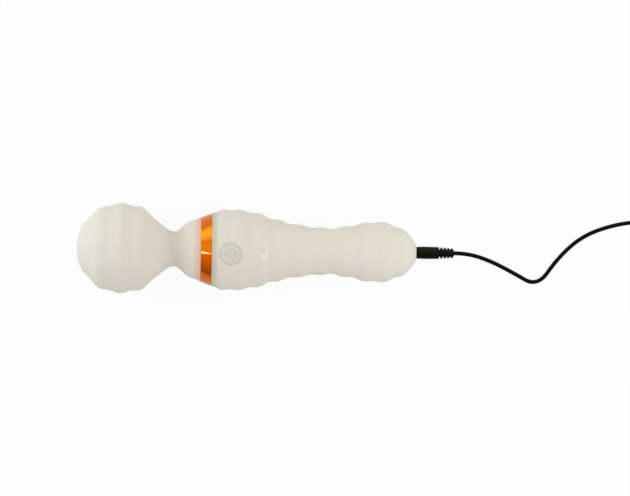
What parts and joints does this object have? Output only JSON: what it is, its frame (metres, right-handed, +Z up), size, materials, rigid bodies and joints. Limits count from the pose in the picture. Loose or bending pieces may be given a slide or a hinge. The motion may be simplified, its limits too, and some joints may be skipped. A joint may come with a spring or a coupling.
{
  "type": "wand massager",
  "caption": "Cordless wand massager with a rippled silicone grip, ball head on a flexible neck, metallised ring, push buttons, and a charging lead plugged into its tail.",
  "frame": {"origin": "middle of the wand's footprint on the surface it lies on, without its charging lead", "axes": "+Z up, buttons on top; +X runs from the massage head towards the charging end, which is the wand's longest extent"},
  "size_m": [0.4, 0.0642, 0.0558],
  "materials": {
    "silicone": "soft matte silicone",
    "metallised_ring": "copper-orange mirror metallising",
    "shell_plastic": "moulded ABS",
    "steel": "bright steel",
    "motor_steel": "drawn steel can",
    "dark_plastic": "black moulding",
    "switch_stem": "black moulding",
    "brass": "turned brass",
    "black_rubber": "soft black rubber",
    "board": "green solder mask",
    "led_lens": "clear diffusing lens",
    "cell_can": "shrink-wrapped can",
    "lead_insulation": "PVC insulation",
    "button_plastic": "translucent grey, satin",
    "plug_plastic": "black soft PVC moulding",
    "cord_jacket": "black PVC jacket",
    "tie": "black strap",
    "plated_metal": "nickel plate",
    "usb_insert": "white insert",
    "gold_contacts": "gold flash"
  },
  "bodies": {
    "handle": {"shoulder_sleeve": "silicone", "trim_ring": "metallised_ring", "handle_sleeve": "silicone", "handle_shell_upper": "shell_plastic", "handle_shell_lower": "shell_plastic", "shell_screws": "steel", "rear_spring_cup": "steel", "circuit_board": "board", "board_screws": "steel", "power_switch": "dark_plastic", "mode_switch": "dark_plastic", "status_led": "led_lens", "battery_cell": "cell_can", "battery_cradle": "shell_plastic", "battery_leads": "lead_insulation", "jack_leads": "lead_insulation", "charging_jack": "dark_plastic", "jack_pin": "brass"},
    "neck": {"neck_sleeve": "silicone", "neck_spring": "steel", "motor_leads": "lead_insulation"},
    "head": {"head_sleeve": "silicone", "head_shell_upper": "shell_plastic", "head_shell_lower": "shell_plastic", "head_screws": "steel", "front_spring_cup": "steel", "motor_can": "motor_steel", "motor_end_cap": "dark_plastic", "motor_bushing": "brass", "motor_cradle": "black_rubber"},
    "motor_rotor": {"motor_shaft": "steel", "eccentric_weight": "brass"},
    "power_button": {"power_button": "button_plastic", "power_plunger": "shell_plastic", "power_switch_stem": "switch_stem"},
    "mode_button": {"mode_button": "silicone", "mode_switch_stem": "switch_stem"},
    "charger": {"plug_body": "plug_plastic", "plug_barrel": "plated_metal", "plug_relief": "plug_plastic", "charging_cord": "cord_jacket", "cord_coil": "cord_jacket", "cord_tail": "cord_jacket", "cord_tie": "tie", "usb_grip": "plug_plastic", "usb_shell": "plated_metal", "usb_tongue": "usb_insert", "usb_contacts": "gold_contacts"}
  },
  "joints": [
    {"name": "neck_bend_vertical", "type": "hinge", "parent": "handle", "child": "neck", "pos_m": [-0.03967, 0, 0.02635], "axis": [0, 1, 0], "range_deg": [-15, 15], "stiffness_Nm_per_rad": 2.5, "deforming": ["neck_sleeve", "neck_spring", "motor_leads"]},
    {"name": "neck_bend_sideways", "type": "hinge", "parent": "neck", "child": "head", "pos_m": [-0.04966, 0, 0.02675], "axis": [0.0408, 0, 0.9992], "range_deg": [-15, 15], "stiffness_Nm_per_rad": 2.5, "deforming": ["neck_sleeve", "neck_spring", "motor_leads"]},
    {"name": "motor_spin", "type": "hinge", "parent": "head", "child": "motor_rotor", "pos_m": [-0.08613, 0, 0.02824], "axis": [0.9992, 0, -0.0408], "continuous": true},
    {"name": "power_button_press", "type": "slide", "parent": "handle", "child": "power_button", "axis": [-0.0408, 0, -0.9992], "range_m": [0, 0.0006], "stiffness_N_per_m": 1500, "springref_m": -0.0004},
    {"name": "mode_button_press", "type": "slide", "parent": "handle", "child": "mode_button", "axis": [-0.0408, 0, -0.9992], "range_m": [0, 0.0006], "stiffness_N_per_m": 1500, "springref_m": -0.0004},
    {"name": "plug_pull", "type": "slide", "parent": "handle", "child": "charger", "axis": [0.9992, 0, -0.0408], "range_m": [0, 0.014]}
  ]
}
